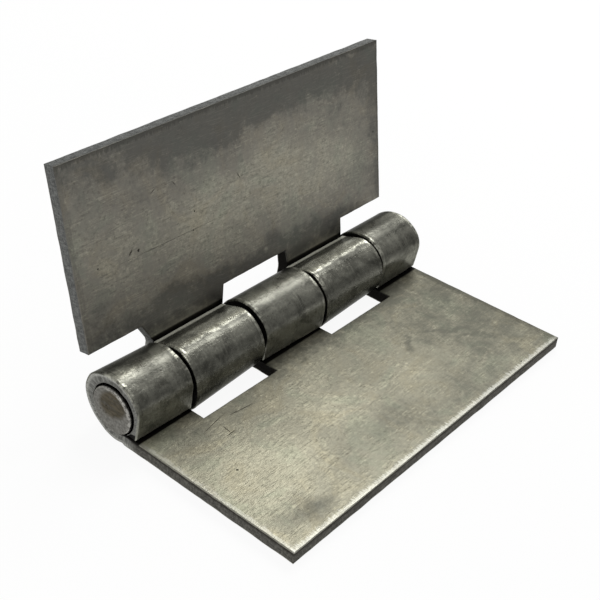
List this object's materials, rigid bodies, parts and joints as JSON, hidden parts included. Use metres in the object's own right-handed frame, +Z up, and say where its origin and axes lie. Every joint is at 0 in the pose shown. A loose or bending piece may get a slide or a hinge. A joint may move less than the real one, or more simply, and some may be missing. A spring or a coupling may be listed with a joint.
{
  "type": "weld-on butt hinge",
  "caption": "Flat weld-on hinge of thick bare steel strip: plain leaves with curled, interleaved knuckles on a round pin, standing open a little past a right angle.",
  "frame": {"origin": "middle of the fixed leaf's weld face, halfway from the pin axis to the leaf's free edge", "axes": "+X along the pin, +Y from the fixed leaf's free edge towards the pin, +Z up out of the weld face; the pin axis is at y = 25.4 mm, z = 8.4 mm"},
  "size_m": [0.1012, 0.0681, 0.0589],
  "materials": {
    "fixed_leaf_steel": "bare, self-colour, as rolled and sheared",
    "swing_leaf_steel": "bare, self-colour, as rolled and sheared",
    "pin_steel": "bare cropped round bar"
  },
  "bodies": {
    "fixed_leaf": {"three_knuckle_leaf": "fixed_leaf_steel", "hinge_pin": "pin_steel"},
    "swing_leaf": {"two_knuckle_leaf": "swing_leaf_steel"}
  },
  "joints": [
    {"name": "leaf_swing", "type": "hinge", "parent": "fixed_leaf", "child": "swing_leaf", "pos_m": [0, 0.0254, 0.0084], "axis": [-1, 0, 0], "range_deg": [-100, 170]}
  ]
}
